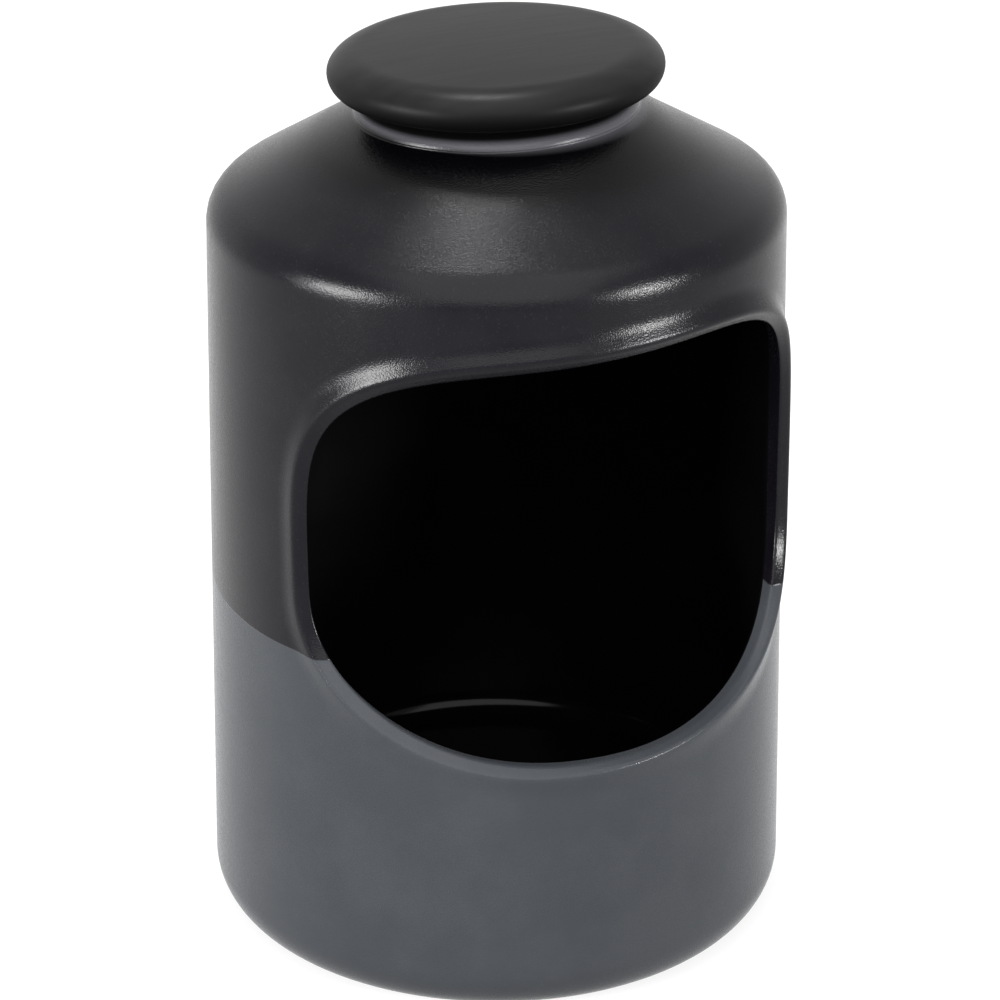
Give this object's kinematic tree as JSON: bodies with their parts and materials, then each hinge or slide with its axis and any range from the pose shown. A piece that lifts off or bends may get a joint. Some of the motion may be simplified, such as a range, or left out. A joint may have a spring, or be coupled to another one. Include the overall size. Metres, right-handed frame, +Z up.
{
  "type": "salt pig",
  "caption": "Round stoneware salt pig with a wide scooping mouth in its front wall and a lift-out wooden lid with a seal.",
  "frame": {"origin": "centre of the foot ring, on the surface that the pot stands on", "axes": "+Z up along the pot's axis; -Y out through the middle of the mouth; +X to the right seen from the front"},
  "size_m": [0.1032, 0.1032, 0.1601],
  "materials": {
    "glaze": "satin charcoal glaze above and cool grey glaze below, gloss black inside",
    "lid_wood": "black stain with a satin lacquer",
    "seal": "matte"
  },
  "bodies": {
    "pot": {"pot_body": "glaze"},
    "lid": {"lid": "lid_wood", "seal_ring": "seal"}
  },
  "joints": [
    {"name": "lid_lift", "type": "slide", "parent": "pot", "child": "lid", "axis": [0, 0, 1], "range_m": [0, 0.03]}
  ]
}
